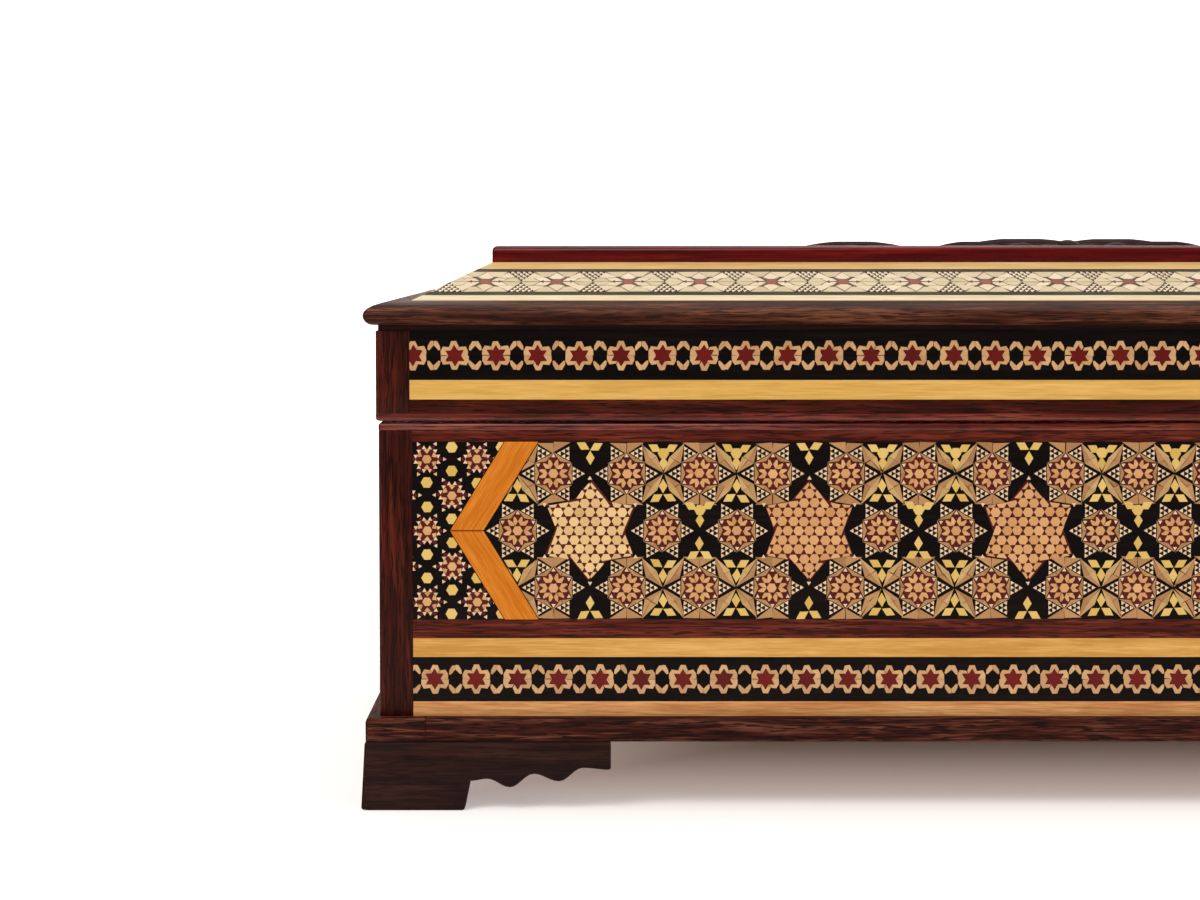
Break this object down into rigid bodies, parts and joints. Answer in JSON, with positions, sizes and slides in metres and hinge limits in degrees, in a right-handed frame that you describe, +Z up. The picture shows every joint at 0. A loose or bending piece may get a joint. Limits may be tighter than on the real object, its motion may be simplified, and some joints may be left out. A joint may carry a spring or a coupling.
{
  "type": "inlaid wooden box",
  "caption": "Rectangular wooden box on bracket feet, faced with star mosaic and strip inlay, with a hinged hip-roofed lid that carries a raised rim and a carved ornament.",
  "frame": {"origin": "on the floor under the middle of the box", "axes": "+X along the length, +Y towards the hinged back, +Z up; the front faces -Y"},
  "size_m": [0.312, 0.2032, 0.1148],
  "materials": {
    "rosewood": "polished satin lacquer over open grain",
    "dark_wood": "satin dark brown",
    "red_wood": "glossy red stain and lacquer",
    "core_wood": "planed",
    "light_wood": "satin lacquer",
    "orange_wood": "satin lacquer",
    "black_wood": "satin lacquer",
    "mosaic": "satin lacquer",
    "pale_mosaic": "satin lacquer",
    "velvet": "short pile",
    "brass": "brushed"
  },
  "bodies": {
    "base": {"foot_front_left": "dark_wood", "foot_front_right": "dark_wood", "foot_back_right": "dark_wood", "foot_back_left": "dark_wood", "foot_blocks": "core_wood", "base_frame_front": "dark_wood", "base_frame_right": "dark_wood", "base_frame_back": "dark_wood", "base_frame_left": "dark_wood", "bottom_panel": "core_wood", "wall_front": "core_wood", "wall_right": "core_wood", "wall_back": "core_wood", "wall_left": "core_wood", "post_front_left": "rosewood", "post_front_right": "rosewood", "post_back_right": "rosewood", "post_back_left": "rosewood", "mosaic_front": "mosaic", "mosaic_right": "mosaic", "mosaic_back": "mosaic", "mosaic_left": "mosaic", "end_mosaics": "mosaic", "chevron_strips": "orange_wood", "base_top_rails": "rosewood", "base_mid_rails": "rosewood", "base_upper_strips": "light_wood", "base_chain_bands": "black_wood", "base_lower_strips": "light_wood", "base_lip": "rosewood", "floor_pad": "velvet", "wall_linings": "velvet", "hinge_base_leaves": "brass", "hinge_pins": "brass", "hinge_base_screws": "brass"},
    "lid": {"lid_wall_front": "core_wood", "lid_wall_right": "core_wood", "lid_wall_back": "core_wood", "lid_wall_left": "core_wood", "lid_posts": "rosewood", "lid_lip": "rosewood", "lid_bottom_rails": "rosewood", "lid_light_strips": "light_wood", "lid_chain_bands": "black_wood", "lid_quirk": "dark_wood", "lid_nosing": "rosewood", "slope_boards": "core_wood", "slope_outer_strips": "light_wood", "slope_black_lines": "black_wood", "slope_mosaic_bands": "pale_mosaic", "slope_inner_strips": "light_wood", "rim": "red_wood", "top_board": "core_wood", "top_border_strips": "light_wood", "top_mosaic": "mosaic", "carved_ornament": "dark_wood", "lid_ceiling": "velvet", "lid_wall_linings": "velvet", "hinge_lid_leaves": "brass", "hinge_lid_screws": "brass"}
  },
  "joints": [
    {"name": "lid_hinge", "type": "hinge", "parent": "base", "child": "lid", "pos_m": [0, 0.0958, 0.078], "axis": [-1, 0, 0], "range_deg": [0, 100]}
  ]
}
